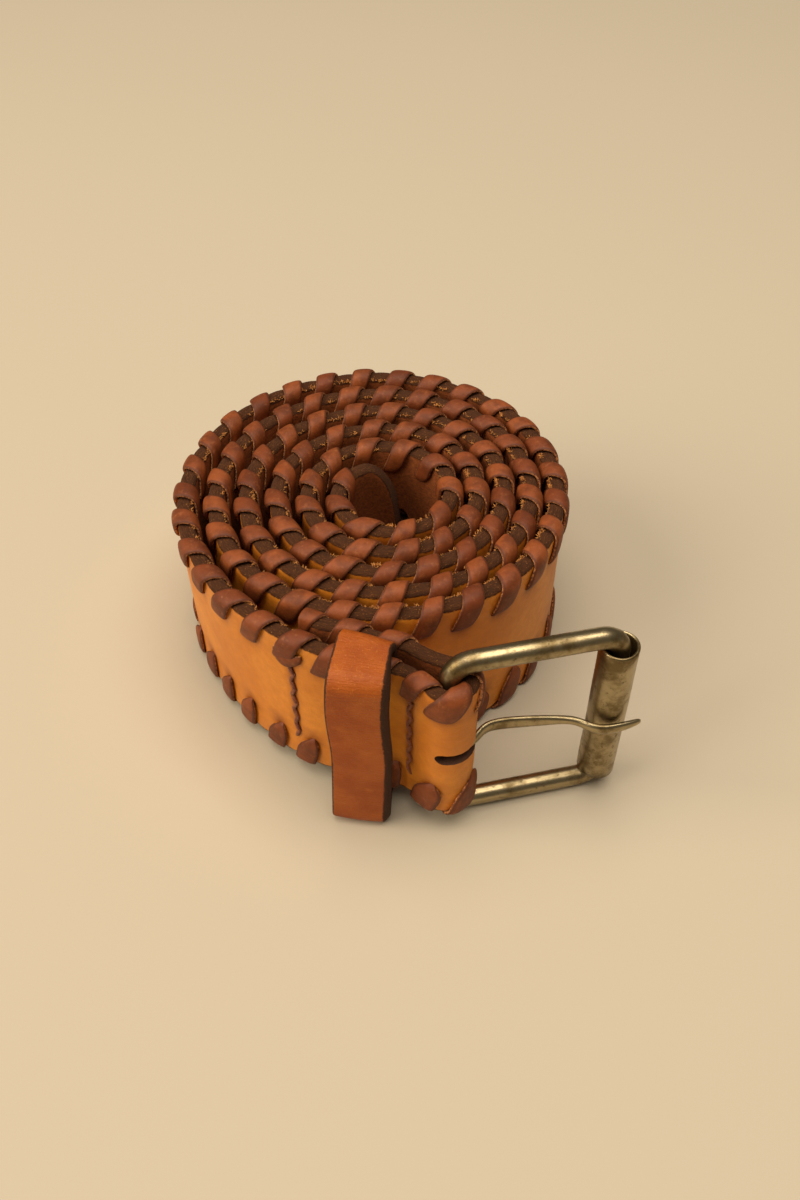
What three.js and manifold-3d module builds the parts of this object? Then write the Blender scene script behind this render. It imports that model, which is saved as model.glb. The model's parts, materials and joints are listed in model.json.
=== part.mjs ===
// Laced leather belt with a roller buckle, rolled up and standing on its lower edge.
// Millimetres, +Z up. The part stands on z = 0. X runs along the buckle, Y away from its front face.
import * as THREE from 'three';
import { mergeVertices } from 'three/addons/utils/BufferGeometryUtils.js';
import Module from 'manifold-3d';

const wasm = await Module();
wasm.setup();

// Strap
const strapWidth = 38;
const strapThickness = 3.4;
const foldWidth = 35.4; // the end that passes through the buckle is trimmed narrower
const foldThickness = 3; // and pared where it lies double
const coilTurns = 5.55; // counted from the front of the roll to the tip
const tipLength = 8; // rounded end

// Lacing over both edges
const lacePitch = 8.4;
const laceThickness = 0.75;
const laceWeb = 0.3; // thickness between two wraps
const lacePressed = 0.3; // thickness between the doubled layers
const laceReach = 5.8; // down each face
const laceFit = 0.15;

// Roll
const rollRadius = 44; // outer face of the leather at the front
const turnGap = 0.85; // between the lacing of two turns
const rollDriftX = 2.3; // the innermost turn sits off the middle by this
const rollDriftY = -1.8;

// Buckle
const frameHeight = 47.2; // outside
const frameWire = 4.2;
const frameCorner = 4; // bend radius at the middle of the wire
const barSpacing = 32; // heel bar to far bar
const barFit = 0.3; // heel bar to leather
const heelAcross = 13.7; // heel bar, right of the roll's middle
const heelForward = 10.8; // heel bar, in front of the roll's outer face
const frameYaw = 12.9; // degrees, the frame points right and a little back
const rollerDiameter = 7.6;
const rollerWall = 0.7;
const rollerLength = 37.6;

// Prong
const prongWidth = 3.2;
const curlWidth = 2.6; // where it hooks round the heel bar
const prongThickness = 1.7;
const curlThickness = 1.6;
const curlFit = 0.3;
const prongOverhang = 5.5; // past the middle of the far bar
const hookRoom = 2.7; // the fold is hollow this far from the heel bar's surface, behind the slot
const slotWidth = 3.4;
const slotFrontAngle = 117; // degrees round the fold from its nose, to the front
const slotRearAngle = 95; // and to the rear
const prongRest = 0.3; // prong to roller
const prongTip = { drop: 0.87, wide: 0.47, thick: 0.7 }; // shares of the prong's height over the bar and of its section

// Doubled end and keeper
const doubledAngle = -20; // degrees, direction of the doubled layers seen from above
const doubledLength = 31; // rear layer, from the heel bar to its cut end
const foldFront = 90; // degrees round the fold from its nose, where the rear layer meets it
const foldBack = 125; // and where the front layer leaves it
const rearSpread = 1.6; // the rear layer's cut end stands this far off the front layer
const frontSeam = 7.8; // seam beside the fold, from the heel bar
const frontLayerOffset = 0.6; // front layer's middle line, in front of the heel bar
const frontBow = { along: 7.5, back: 0.9 }; // the front layer bends back past the keeper
const leaveTurn = 0.111; // share of a turn where the strap leaves the roll for the buckle
const leaveBulge = 1.4; // it stands off the spiral there by this
const settleLength = 74; // the strap sinks from the buckle's height to the roll's over this length
const heldLength = 6; // and stays level before that
const keeperDistance = 16.4; // middle of the keeper, from the heel bar
const keeperWidth = 10.5;
const keeperWall = 2.4;
const keeperBackWall = 1.4; // pared where it lies between the layers
const keeperSlackAbove = 0.9; // inside, over the lacing
const keeperSlackBelow = 2.6; // and under it
const keeperRoom = 1.25; // the layers part this far before the keeper's edges
const keeperStandOff = 10.2; // outer front face, in front of the heel bar's line
const keeperTwist = 1.1; // its left edge stands out and its right edge in by this
const keeperSkew = 1.8; // its front wall sits nearer the heel bar by this
const keeperCorner = 3.5;
const layerFit = 0.25;

// Prong holes near the tip
const holeCount = 5;
const holeDiameter = 4.5;
const holeSpacing = 25;
const firstHole = 75; // from the tip

const deg = Math.PI / 180;
const laceRise = laceFit + laceThickness;
const turnPitch = strapThickness + 2 * laceRise + turnGap;
const wireRadius = frameWire / 2;
const foldRadius = wireRadius + barFit + foldThickness / 2;
const frameMiddle = frameHeight / 2;
const heelAxis = new THREE.Vector2(heelAcross, -(rollRadius + heelForward));
const rollerRadius = rollerDiameter / 2;
const foldLow = frameMiddle - foldWidth / 2;
const keeperHeight = foldWidth + 2 * (laceRise + keeperWall) + keeperSlackAbove + keeperSlackBelow;
const keeperFloor = foldLow - laceRise - keeperSlackBelow - keeperWall;

function smooth(share) {
  const t = THREE.MathUtils.clamp(share, 0, 1);
  return t * t * (3 - 2 * t);
}

// A point given along the doubled layers and away from their front, measured from the heel bar.
function fromHeel(along, back) {
  const c = Math.cos(doubledAngle * deg);
  const s = Math.sin(doubledAngle * deg);
  return new THREE.Vector3(heelAxis.x + along * c - back * s, heelAxis.y + along * s + back * c, 0);
}

// Spiral of the roll: a turn of 0 is at the front, and turns run in clockwise, seen from above.
function rollPoint(turn) {
  const radius = rollRadius - strapThickness / 2 - turnPitch * turn;
  const angle = -Math.PI / 2 - 2 * Math.PI * turn;
  const drift = turn / coilTurns;
  return new THREE.Vector3(
    radius * Math.cos(angle) + rollDriftX * drift,
    radius * Math.sin(angle) + rollDriftY * drift,
    0,
  );
}

// The middle line of the strap from the cut end behind the keeper, round the heel bar, along the
// front and round the roll to the tip.
function strapCurve() {
  const innerLace = laceFit + lacePressed;
  const pressed = foldThickness + 2 * innerLace + layerFit;
  const spread = foldThickness + 2 * innerLace + keeperBackWall + 2 * layerFit;
  const frontBack = -frontLayerOffset;
  const keeperHalf = keeperWidth / 2 + keeperRoom;
  const points = [];
  const rearLayer = [
    { along: doubledLength, back: frontBack + pressed + rearSpread },
    { along: (doubledLength + keeperDistance + keeperHalf) / 2, back: frontBack + pressed + 0.75 * rearSpread },
    { along: keeperDistance + keeperHalf, back: frontBack + spread },
    { along: keeperDistance, back: frontBack + spread },
    { along: keeperDistance - keeperHalf, back: frontBack + spread },
    { along: frontSeam, back: (foldRadius + frontBack + spread) / 2 },
    { along: foldRadius, back: foldRadius },
  ];
  for (const row of rearLayer) points.push(fromHeel(-row.along, row.back));
  const bendSteps = 14;
  for (let i = 0; i <= bendSteps; i += 1) {
    const angle = THREE.MathUtils.lerp(foldFront, -foldBack, i / bendSteps) * deg;
    points.push(fromHeel(foldRadius * Math.cos(angle), foldRadius * Math.sin(angle)));
  }
  const frontLayer = [
    { along: frontSeam, back: frontBack },
    { along: keeperDistance - keeperHalf, back: frontBack },
    { along: keeperDistance, back: frontBack },
    { along: keeperDistance + keeperHalf, back: frontBack },
    { along: keeperDistance + keeperHalf + frontBow.along, back: frontBack + frontBow.back },
  ];
  for (const row of frontLayer) points.push(fromHeel(-row.along, row.back));
  const leave = rollPoint(leaveTurn);
  leave.multiplyScalar(1 + leaveBulge / leave.length());
  points.push(leave);
  const stepsPerTurn = 24;
  const firstStep = 4;
  const lastStep = Math.round(coilTurns * stepsPerTurn);
  for (let i = firstStep; i <= lastStep; i += 1) points.push(rollPoint(i / stepsPerTurn));
  const curve = new THREE.CatmullRomCurve3(points, false, 'centripetal');
  curve.arcLengthDivisions = 6000;
  return curve;
}

const curve = strapCurve();
const strapLength = curve.getLength();
const bendStart = doubledLength - wireRadius / 2; // length of the rear layer before the bend
const bendLength = foldRadius * (foldFront + foldBack) * deg;
const noseLength = bendStart + foldRadius * foldFront * deg;
const frontStart = bendStart + bendLength; // the front layer leaves the heel bar here

// Share of the way from the plain strap of the roll (0) to the trimmed end in the buckle (1).
function endShare(s) {
  return s < noseLength ? 1 : 1 - smooth((s - noseLength - heldLength) / settleLength);
}

// Place, outward side and section of the strap at the length s from the cut end.
function strapAt(s) {
  const share = s / strapLength;
  const middle = curve.getPointAt(share);
  const tangent = curve.getTangentAt(share);
  const end = endShare(s);
  const fromTip = (s - (strapLength - tipLength)) / tipLength;
  const round = fromTip > 0 ? Math.sqrt(Math.max(0, 1 - fromTip * fromTip)) : 1;
  const fullWidth = THREE.MathUtils.lerp(strapWidth, foldWidth, end);
  const low = THREE.MathUtils.lerp(laceRise, foldLow, end);
  return {
    s,
    middle,
    out: new THREE.Vector3(-tangent.y, tangent.x, 0).normalize(),
    half: THREE.MathUtils.lerp(strapThickness, foldThickness, end) / 2,
    low: low + (fullWidth * (1 - round)) / 2,
    high: low + (fullWidth * (1 + round)) / 2,
  };
}

// Lengths at which the strap and its lacing have a section.
function strapStations() {
  const halfPitch = lacePitch / 2;
  const stations = [];
  const rearSteps = Math.round(bendStart / halfPitch);
  for (let i = 0; i < rearSteps; i += 1) stations.push((bendStart * i) / rearSteps);
  const bendSteps = 11;
  for (let i = 0; i < bendSteps; i += 1) stations.push(bendStart + (bendLength * i) / bendSteps);
  for (let i = 0; i < 4; i += 1) stations.push(frontStart + (halfPitch * i) / 2);
  const plainStart = frontStart + 2 * halfPitch;
  const plainSteps = Math.floor((strapLength - tipLength - plainStart) / halfPitch);
  for (let i = 0; i <= plainSteps; i += 1) stations.push(plainStart + halfPitch * i);
  for (const angle of [25, 45, 60, 72]) {
    stations.push(strapLength - tipLength + tipLength * Math.sin(angle * deg));
  }
  return stations;
}

const stations = strapStations();
const nearStation = 0.5; // no section of the lacing lies closer than this to its ends
const firstFrontLace = frontStart + lacePitch / 4;
const lastLace = Math.max(...stations.filter((s) => s <= strapLength - tipLength));
const firstRearLace = lacePitch / 8;
const lastRearLace = bendStart - lacePitch / 3;

// A closed body through rings of points; capFaces are quads of ring indices for the two ends.
function loft(rings, capFaces, closed = false) {
  const size = rings[0].length;
  const positions = [];
  const faces = [];
  for (const ring of rings) {
    for (const point of ring) positions.push(point.x, point.y, point.z);
  }
  const spans = closed ? rings.length : rings.length - 1;
  for (let i = 0; i < spans; i += 1) {
    const next = (i + 1) % rings.length;
    for (let j = 0; j < size; j += 1) {
      const k = (j + 1) % size;
      faces.push(i * size + j, next * size + j, next * size + k);
      faces.push(i * size + j, next * size + k, i * size + k);
    }
  }
  if (!closed) {
    const last = (rings.length - 1) * size;
    for (const [a, b, c, d] of capFaces) {
      faces.push(a, b, c, a, c, d);
      faces.push(last + a, last + c, last + b, last + a, last + d, last + c);
    }
  }
  const geometry = new THREE.BufferGeometry();
  geometry.setAttribute('position', new THREE.Float32BufferAttribute(positions, 3));
  geometry.setIndex(faces);
  return faceOutwards(geometry);
}

function faceOutwards(geometry) {
  const p = geometry.attributes.position;
  const index = geometry.index.array;
  const [a, b, c] = [new THREE.Vector3(), new THREE.Vector3(), new THREE.Vector3()];
  let volume = 0;
  for (let i = 0; i < index.length; i += 3) {
    a.fromBufferAttribute(p, index[i]);
    b.fromBufferAttribute(p, index[i + 1]);
    c.fromBufferAttribute(p, index[i + 2]);
    volume += a.dot(b.cross(c));
  }
  if (volume < 0) {
    for (let i = 0; i < index.length; i += 3) {
      [index[i + 1], index[i + 2]] = [index[i + 2], index[i + 1]];
    }
  }
  return geometry;
}

function toSolid(geometry) {
  const bare = geometry.clone();
  bare.deleteAttribute('normal');
  bare.deleteAttribute('uv');
  const merged = mergeVertices(bare, 1e-4);
  return new wasm.Manifold(new wasm.Mesh({
    numProp: 3,
    vertProperties: new Float32Array(merged.attributes.position.array),
    triVerts: new Uint32Array(merged.index.array),
  }));
}

function toGeometry(solid) {
  const mesh = solid.getMesh();
  const geometry = new THREE.BufferGeometry();
  geometry.setAttribute('position', new THREE.BufferAttribute(mesh.vertProperties, 3));
  geometry.setIndex(new THREE.BufferAttribute(mesh.triVerts, 1));
  return geometry;
}

function onStrap(section, out, z) {
  return section.middle.clone().addScaledVector(section.out, out).setZ(z);
}

const quadCap = [[0, 1, 2, 3]];

function strapBody() {
  return loft(stations.map((s) => {
    const cut = strapAt(s);
    return [
      onStrap(cut, cut.half, cut.low),
      onStrap(cut, cut.half, cut.high),
      onStrap(cut, -cut.half, cut.high),
      onStrap(cut, -cut.half, cut.low),
    ];
  }), quadCap);
}

// Part of a ring round the heel bar, from one angle to another seen from above.
function heelSector(inner, outer, from, to, height) {
  const shape = new THREE.Shape();
  shape.absarc(0, 0, outer, from * deg, to * deg, false);
  shape.absarc(0, 0, inner, to * deg, from * deg, true);
  const sector = new THREE.ExtrudeGeometry(shape, { depth: height, bevelEnabled: false, curveSegments: 14 });
  sector.translate(heelAxis.x, heelAxis.y, frameMiddle - height / 2);
  return sector;
}

// Slot in the fold for the prong, with room inside the fold for the prong's hook.
function slotCutters() {
  const curlRoom = wireRadius + hookRoom;
  const past = foldRadius + foldThickness;
  const slot = heelSector(foldRadius / 2, past, -slotFrontAngle, slotRearAngle, slotWidth);
  const room = new THREE.CylinderGeometry(curlRoom, curlRoom, slotWidth, 20);
  room.rotateX(Math.PI / 2);
  room.translate(heelAxis.x, heelAxis.y, frameMiddle);
  return [slot, room];
}

function holeCutters() {
  const cutters = [];
  for (let i = 0; i < holeCount; i += 1) {
    const cut = strapAt(strapLength - firstHole - holeSpacing * i);
    const hole = new THREE.CylinderGeometry(holeDiameter / 2, holeDiameter / 2, strapThickness + turnGap, 10);
    hole.applyQuaternion(new THREE.Quaternion().setFromUnitVectors(new THREE.Vector3(0, 1, 0), cut.out));
    hole.translate(cut.middle.x, cut.middle.y, (cut.low + cut.high) / 2);
    cutters.push(hole);
  }
  return cutters;
}

function strap() {
  let solid = toSolid(strapBody());
  for (const cutter of [...slotCutters(), ...holeCutters()]) solid = solid.subtract(toSolid(cutter));
  return toGeometry(solid);
}

// Thickness of the lacing, which swells at each wrap and sinks between two of them.
function laceAt(s) {
  const phase = Math.abs(((s - frontStart) / lacePitch) % 1);
  const swell = Math.abs(2 * phase - 1);
  return THREE.MathUtils.lerp(laceWeb, laceThickness, swell);
}

// Lacing over one edge of the strap between two lengths; side is 1 for the upper edge, -1 for the lower.
function lacing(from, to, side) {
  const doubled = noseLength + doubledLength;
  const between = stations.filter((s) => s > from + nearStation && s < to - nearStation);
  const lengths = [from, ...between, to];
  const rings = lengths.map((s) => {
    const cut = strapAt(s);
    const edge = side > 0 ? cut.high : cut.low;
    const thick = laceAt(s);
    const flesh = cut.half + laceFit + (s < doubled ? lacePressed : thick);
    const grain = cut.half + laceFit + thick;
    const skin = cut.half + laceFit;
    const crest = edge + side * (laceFit + thick);
    const seat = edge + side * laceFit;
    const foot = edge - side * laceReach;
    return [
      onStrap(cut, grain, foot),
      onStrap(cut, grain, crest),
      onStrap(cut, -flesh, crest),
      onStrap(cut, -flesh, foot),
      onStrap(cut, -skin, foot),
      onStrap(cut, -skin, seat),
      onStrap(cut, skin, seat),
      onStrap(cut, skin, foot),
    ];
  });
  return loft(rings, [[0, 1, 6, 7], [1, 2, 5, 6], [2, 3, 4, 5]]);
}

// Stations round a loop with rounded corners, as distances back and up; inset moves each side in.
function keeperLoop(inset, radius) {
  const innerLace = laceFit + lacePressed;
  const rear = -frontLayerOffset + foldThickness / 2 + innerLace + layerFit + keeperBackWall;
  const [front, back] = [-keeperStandOff + inset.front, rear - inset.back];
  const [low, high] = [keeperFloor + inset.level, keeperFloor + keeperHeight - inset.level];
  const corners = [
    { y: front + radius, z: high - radius, start: 180 },
    { y: back - radius, z: high - radius, start: 90 },
    { y: back - radius, z: low + radius, start: 0 },
    { y: front + radius, z: low + radius, start: -90 },
  ];
  const loop = [];
  for (const corner of corners) {
    for (const turn of [0, 30, 60, 90]) {
      const angle = (corner.start - turn) * deg;
      loop.push({ y: corner.y + radius * Math.cos(angle), z: corner.z + radius * Math.sin(angle) });
    }
  }
  for (const share of [0.2, 0.35, 0.5, 0.65, 0.8]) {
    loop.push({ y: front, z: THREE.MathUtils.lerp(low + radius, high - radius, share) });
  }
  return loop;
}

// The keeper's front wall waves along its height; share is of the height, shift of the width.
const keeperWave = [
  { share: 0, shift: -0.03 },
  { share: 0.38, shift: 0.03 },
  { share: 0.52, shift: 0.05 },
  { share: 0.66, shift: -0.01 },
  { share: 0.8, shift: -0.035 },
  { share: 1, shift: 0.02 },
];

function waveAt(z) {
  const share = (z - keeperFloor) / keeperHeight;
  const next = keeperWave.findIndex((row) => row.share >= share);
  if (next <= 0) return keeperWave[0].shift;
  const [low, high] = [keeperWave[next - 1], keeperWave[next]];
  const t = smooth((share - low.share) / (high.share - low.share));
  return THREE.MathUtils.lerp(low.shift, high.shift, t);
}

function keeper() {
  const outer = keeperLoop({ front: 0, back: 0, level: 0 }, keeperCorner);
  const inner = keeperLoop(
    { front: keeperWall, back: keeperBackWall, level: keeperWall },
    keeperCorner - keeperWall,
  );
  const place = (point, side) => {
    const depth = THREE.MathUtils.clamp(-point.y / keeperStandOff, 0, 1);
    const shift = keeperSkew + waveAt(point.z) * keeperWidth;
    const along = -keeperDistance + side * keeperWidth / 2 + shift * depth;
    return fromHeel(along, point.y + side * keeperTwist * depth).setZ(point.z);
  };
  const rings = outer.map((point, i) => [
    place(point, -1),
    place(point, 1),
    place(inner[i], 1),
    place(inner[i], -1),
  ]);
  return loft(rings, quadCap, true);
}

// A round or oval section swept along points that lie in one plane; across is the plane's normal.
function sweep(stationsAlong, across, sides, closed) {
  const count = stationsAlong.length;
  const rings = stationsAlong.map((station, i) => {
    const before = stationsAlong[closed ? (i + count - 1) % count : Math.max(i - 1, 0)].point;
    const after = stationsAlong[closed ? (i + 1) % count : Math.min(i + 1, count - 1)].point;
    const tangent = after.clone().sub(before).normalize();
    const lift = new THREE.Vector3().crossVectors(across, tangent).normalize();
    const ring = [];
    for (let j = 0; j < sides; j += 1) {
      const angle = (2 * Math.PI * (j + 0.5)) / sides;
      ring.push(station.point.clone()
        .addScaledVector(across, (Math.cos(angle) * station.wide) / 2)
        .addScaledVector(lift, (Math.sin(angle) * station.thick) / 2));
    }
    return ring;
  });
  const caps = [];
  for (let j = 1; j + 2 < sides; j += 2) caps.push([0, j, j + 1, j + 2]);
  return loft(rings, caps, closed);
}

// Frame in its own plane: x from the heel bar to the far bar, z up.
function frame() {
  const half = frameMiddle - wireRadius;
  const bend = frameCorner;
  const corners = [
    { x: bend, z: half - bend, start: 180 },
    { x: barSpacing - bend, z: half - bend, start: 90 },
    { x: barSpacing - bend, z: -half + bend, start: 0 },
    { x: bend, z: -half + bend, start: -90 },
  ];
  const path = [];
  for (const corner of corners) {
    for (const turn of [0, 22.5, 45, 67.5, 90]) {
      const angle = (corner.start - turn) * deg;
      const point = new THREE.Vector3(corner.x + bend * Math.cos(angle), 0, corner.z + bend * Math.sin(angle));
      path.push({ point, wide: frameWire, thick: frameWire });
    }
  }
  return sweep(path, new THREE.Vector3(0, 1, 0), 10, true);
}

function roller() {
  const [inner, outer, half] = [rollerRadius - rollerWall, rollerRadius, rollerLength / 2];
  const profile = [[inner, -half], [outer, -half], [outer, half], [inner, half], [inner, -half]];
  const tube = new THREE.LatheGeometry(profile.map(([r, z]) => new THREE.Vector2(r, z)), 16);
  tube.rotateX(Math.PI / 2);
  return tube;
}

// The prong hooks round the heel bar, leaves through the slot and lies on the front of the roller.
// It leaves the hook at these angles, this many times as far from the bar as the hook.
const prongLeaving = [
  { turn: 302, away: 1.06 },
  { turn: 319, away: 1.2 },
  { turn: 336, away: 1.45 },
  { turn: 350, away: 1.76 },
];

// Shares of the way from the hook to the far bar, of the resting height there and of the section.
const prongTongue = [
  { x: 0.122, y: 0.01, wide: 0.89, thick: 1 },
  { x: 0.16, y: 0.14, wide: 0.95, thick: 1 },
  { x: 0.208, y: 0.2, wide: 1.03, thick: 1 },
  { x: 0.288, y: 0.19, wide: 1.09, thick: 1 },
  { x: 0.41, y: 0.1, wide: 1.06, thick: 1 },
  { x: 0.549, y: -0.03, wide: 0.94, thick: 1 },
  { x: 0.688, y: -0.16, wide: 0.66, thick: 1 },
  { x: 0.767, y: -0.34, wide: 0.63, thick: 1 },
  { x: 0.823, y: -0.67, wide: 0.72, thick: 1 },
  { x: 0.875, y: -0.89, wide: 0.84, thick: 1 },
  { x: 0.93, y: -1, wide: 0.88, thick: 1 },
  { x: 1, y: -1.01, wide: 0.84, thick: 1 },
  { x: 1.087, y: -0.98, wide: 0.69, thick: 0.85 },
];

function prong() {
  const curl = wireRadius + curlFit + curlThickness / 2;
  const path = [];
  const round = (turn, away) => path.push({
    x: curl * away * Math.cos(turn * deg),
    y: curl * away * Math.sin(turn * deg),
    wide: curlWidth,
    thick: curlThickness,
  });
  for (let turn = 75; turn <= 285; turn += 21) round(turn, 1);
  for (const row of prongLeaving) round(row.turn, row.away);
  const resting = -(rollerRadius + prongThickness / 2 + prongRest);
  for (const row of prongTongue) {
    path.push({
      x: THREE.MathUtils.lerp(curl, barSpacing, row.x),
      y: row.y * -resting,
      wide: row.wide * prongWidth,
      thick: row.thick * prongThickness,
    });
  }
  path.push({
    x: barSpacing + prongOverhang,
    y: resting * prongTip.drop,
    wide: prongTip.wide * prongWidth,
    thick: prongTip.thick * prongThickness,
  });
  const points = path.map((row) => ({ ...row, point: new THREE.Vector3(row.x, row.y, 0) }));
  return sweep(points, new THREE.Vector3(0, 0, 1), 8, false);
}

const leather = new THREE.MeshStandardMaterial({ color: 0xc9792f, roughness: 0.55, metalness: 0 });
const lace = new THREE.MeshStandardMaterial({ color: 0x7e4128, roughness: 0.65, metalness: 0 });
const waxedLeather = new THREE.MeshStandardMaterial({ color: 0x9c4f1d, roughness: 0.4, metalness: 0 });
const oldBrass = new THREE.MeshStandardMaterial({ color: 0x8f7f58, roughness: 0.35, metalness: 1 });

function named(name, geometry, material) {
  const mesh = new THREE.Mesh(geometry, material);
  mesh.name = name;
  return mesh;
}

const belt = new THREE.Group();
belt.add(
  named('strap', strap(), leather),
  named('upper_lacing', lacing(firstFrontLace, lastLace, 1), lace),
  named('lower_lacing', lacing(firstFrontLace, lastLace, -1), lace),
  named('rear_upper_lacing', lacing(firstRearLace, lastRearLace, 1), lace),
  named('rear_lower_lacing', lacing(firstRearLace, lastRearLace, -1), lace),
  named('keeper', keeper(), waxedLeather),
);

const buckle = new THREE.Group();
buckle.position.set(heelAxis.x, heelAxis.y, frameMiddle);
buckle.rotation.z = frameYaw * deg;
const rollerTube = named('roller', roller(), oldBrass);
rollerTube.position.x = barSpacing;
buckle.add(named('buckle_frame', frame(), oldBrass), rollerTube, named('prong', prong(), oldBrass));
belt.add(buckle);

// The origin is on the floor, under the middle of the whole part.
belt.updateMatrixWorld(true);
const box = new THREE.Box3().setFromObject(belt, true);
belt.position.set(-(box.min.x + box.max.x) / 2, -(box.min.y + box.max.y) / 2, -box.min.z);

export default belt;
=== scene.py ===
import json
import math

import bmesh
import bpy
import numpy as np
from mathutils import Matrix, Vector


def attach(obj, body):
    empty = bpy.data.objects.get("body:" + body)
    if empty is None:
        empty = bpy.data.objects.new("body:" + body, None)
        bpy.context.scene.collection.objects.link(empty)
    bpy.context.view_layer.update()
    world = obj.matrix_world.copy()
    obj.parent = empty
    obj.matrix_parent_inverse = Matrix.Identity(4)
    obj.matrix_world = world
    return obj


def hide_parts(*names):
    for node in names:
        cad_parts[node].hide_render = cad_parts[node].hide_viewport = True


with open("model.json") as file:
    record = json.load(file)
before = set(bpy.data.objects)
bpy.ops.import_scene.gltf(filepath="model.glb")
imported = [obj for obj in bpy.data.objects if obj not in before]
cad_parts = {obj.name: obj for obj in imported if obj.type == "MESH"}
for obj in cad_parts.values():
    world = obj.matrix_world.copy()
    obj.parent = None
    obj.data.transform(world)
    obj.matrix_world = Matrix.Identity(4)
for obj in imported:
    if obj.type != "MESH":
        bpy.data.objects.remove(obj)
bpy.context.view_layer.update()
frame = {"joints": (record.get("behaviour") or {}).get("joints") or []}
mm = 0.001
joints = {joint["name"]: joint for joint in frame["joints"]}
heelAxis = np.array(joints["buckle_swing"]["pos_m"]) / mm
farAxis = np.array(joints["roller_spin"]["pos_m"]) / mm
dice = np.random.default_rng(11)


# Camera, lamps and floor

camera = {
    "fromHeel": (-9.0, -130.2, 201.0),  # mm, from the foot of the heel bar
    "tilt": 43.1,  # degrees up from straight down
    "lens": 34.5,
}

studio = {
    "floorColour": (0.52, 0.45, 0.34, 1),
    "worldColour": (1.0, 0.90, 0.76, 1),
    "worldStrength": 0.16,
    "key": {"place": (-1.35, -0.42, 0.95), "size": 1.15, "power": 24, "colour": (1.0, 0.88, 0.70)},
    "top": {"place": (0.05, -0.05, 1.20), "size": 1.00, "power": 15, "colour": (1.0, 0.90, 0.76)},
}


def addCamera():
    view = bpy.data.cameras.new("photoView")
    view.lens = camera["lens"]
    view.sensor_width = 36
    view.clip_start = 0.01
    holder = bpy.data.objects.new("photoView", view)
    x, y, z = camera["fromHeel"]
    holder.location = Vector((heelAxis[0] + x, heelAxis[1] + y, z)) * mm
    holder.rotation_euler = (math.radians(camera["tilt"]), 0, 0)
    bpy.context.scene.collection.objects.link(holder)
    bpy.context.scene.camera = holder


def addLamp(name, look):
    lamp = bpy.data.lights.new(name, "AREA")
    lamp.energy = look["power"]
    lamp.size = look["size"]
    lamp.color = look["colour"]
    holder = bpy.data.objects.new(name, lamp)
    holder.location = look["place"]
    aim = Vector((0, -0.01, 0.02)) - Vector(look["place"])
    holder.rotation_euler = aim.to_track_quat("-Z", "Y").to_euler()
    bpy.context.scene.collection.objects.link(holder)


def addStudio():
    world = bpy.data.worlds.new("studio")
    world.use_nodes = True
    sky = world.node_tree.nodes["Background"]
    sky.inputs["Color"].default_value = studio["worldColour"]
    sky.inputs["Strength"].default_value = studio["worldStrength"]
    bpy.context.scene.world = world
    bpy.context.scene.view_settings.view_transform = "Standard"
    for name in ("key", "top"):
        addLamp(name, studio[name])
    bm = bmesh.new()
    bmesh.ops.create_grid(bm, x_segments=1, y_segments=1, size=3)
    meshPiece("floor", bm, [floorCloth()])


# Making pieces

def meshPiece(name, bm, materials, smoothAngle=40):
    mesh = bpy.data.meshes.new(name)
    bm.to_mesh(mesh)
    bm.free()
    return dressPiece(name, mesh, materials, smoothAngle)


def dressPiece(name, mesh, materials, smoothAngle=40):
    mesh.shade_smooth()
    mesh.set_sharp_from_angle(angle=math.radians(smoothAngle))
    mesh.materials.clear()
    for material in materials:
        mesh.materials.append(material)
    piece = bpy.data.objects.new(name, mesh)
    bpy.context.scene.collection.objects.link(piece)
    return piece


def soften(piece, levels):
    smoother = piece.modifiers.new("smoother", "SUBSURF")
    smoother.levels = levels
    smoother.render_levels = levels


def points(mesh):
    flat = np.empty(len(mesh.vertices) * 3)
    mesh.vertices.foreach_get("co", flat)
    return flat.reshape(-1, 3)


def setPoints(mesh, places):
    mesh.vertices.foreach_set("co", np.ascontiguousarray(places, dtype=np.float32).ravel())
    mesh.update()


def keepVector(mesh, name, values):
    layer = mesh.attributes.new(name, "FLOAT_VECTOR", "POINT")
    layer.data.foreach_set("vector", np.ascontiguousarray(values, dtype=np.float32).ravel())


def keepNumber(mesh, name, values):
    layer = mesh.attributes.new(name, "FLOAT", "POINT")
    layer.data.foreach_set("value", np.ascontiguousarray(values, dtype=np.float32))


def smoothStep(share):
    t = np.clip(share, 0, 1)
    return t * t * (3 - 2 * t)


def bell(distance, width):
    return np.exp(-((distance / width) ** 2))


# Material nodes

def newMaterial(name, **sockets):
    material = bpy.data.materials.new(name)
    material.use_nodes = True
    tree = material.node_tree
    shader = tree.nodes["Principled BSDF"]
    for socket, value in sockets.items():
        shader.inputs[socket.replace("_", " ")].default_value = value
    return material, tree, shader


def put(tree, kind, inputs=None, **settings):
    made = tree.nodes.new("ShaderNode" + kind)
    for name, value in settings.items():
        setattr(made, name, value)
    for name, value in (inputs or {}).items():
        if isinstance(value, bpy.types.NodeSocket):
            tree.links.new(value, made.inputs[name])
        else:
            made.inputs[name].default_value = value
    return made


def readAttribute(tree, name):
    return put(tree, "Attribute", attribute_name=name).outputs


def noise(tree, coords, scale, detail=3, roughness=0.55, distortion=0):
    values = {
        "Vector": coords, "Scale": scale, "Detail": detail, "Roughness": roughness, "Distortion": distortion,
    }
    return put(tree, "TexNoise", values).outputs["Fac"]


def stretched(tree, coords, scale):
    return put(tree, "Mapping", {"Vector": coords, "Scale": scale}).outputs["Vector"]


def between(tree, value, low, high, toLow=0.0, toHigh=1.0):
    values = {"Value": value, "From Min": low, "From Max": high, "To Min": toLow, "To Max": toHigh}
    return put(tree, "MapRange", values, interpolation_type="SMOOTHSTEP").outputs["Result"]


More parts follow.
